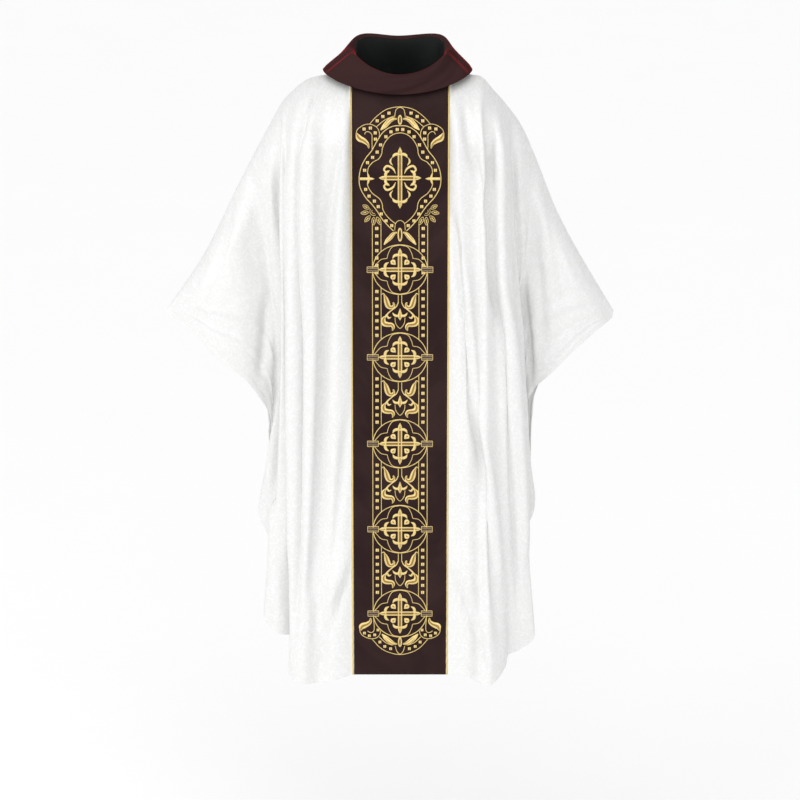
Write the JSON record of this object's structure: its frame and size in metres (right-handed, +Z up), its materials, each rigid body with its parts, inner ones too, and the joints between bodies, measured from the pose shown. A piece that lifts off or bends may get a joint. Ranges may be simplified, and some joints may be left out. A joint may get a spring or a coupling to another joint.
{
  "type": "chasuble",
  "caption": "Gothic chasuble, white damask with dark velvet orphrey, rolled cowl collar, gold cord and embroidery, as worn.",
  "frame": {"origin": "centre of the neck opening, level with the neck end of the shoulder seams", "axes": "+Z up the wearer's body, -Y out of the front, so the wearer's right hand is on -X"},
  "size_m": [0.9522, 0.3333, 1.3664],
  "materials": {
    "damask": "satin",
    "velvet": "pile",
    "gold_thread": "metallic thread",
    "dark_lining": "matt",
    "canvas": "matt"
  },
  "bodies": {
    "root": {"back_crest": "gold_thread", "back_foot_crest": "gold_thread", "back_interlining": "canvas", "back_left_body": "damask", "back_left_hem_band": "damask", "back_left_piping": "gold_thread", "back_medallion_cross": "gold_thread", "back_medallion_frame": "gold_thread", "back_orphrey": "velvet", "back_right_body": "damask", "back_right_hem_band": "damask", "back_right_piping": "gold_thread", "back_roundel_1": "gold_thread", "back_roundel_2": "gold_thread", "back_roundel_3": "gold_thread", "back_roundel_4": "gold_thread", "back_roundel_5": "gold_thread", "back_spray_1": "gold_thread", "back_spray_2": "gold_thread", "back_spray_3": "gold_thread", "back_spray_4": "gold_thread", "collar_interfacing": "canvas", "collar_lining": "dark_lining", "collar_velvet": "velvet", "front_crest": "gold_thread", "front_foot_crest": "gold_thread", "front_interlining": "canvas", "front_left_body": "damask", "front_left_hem_band": "damask", "front_left_piping": "gold_thread", "front_medallion_cross": "gold_thread", "front_medallion_frame": "gold_thread", "front_orphrey": "velvet", "front_right_body": "damask", "front_right_hem_band": "damask", "front_right_piping": "gold_thread", "front_roundel_1": "gold_thread", "front_roundel_2": "gold_thread", "front_roundel_3": "gold_thread", "front_roundel_4": "gold_thread", "front_roundel_5": "gold_thread", "front_spray_1": "gold_thread", "front_spray_2": "gold_thread", "front_spray_3": "gold_thread", "front_spray_4": "gold_thread", "left_shoulder_tape": "canvas", "neck_tape": "dark_lining", "right_shoulder_tape": "canvas"}
  },
  "joints": []
}
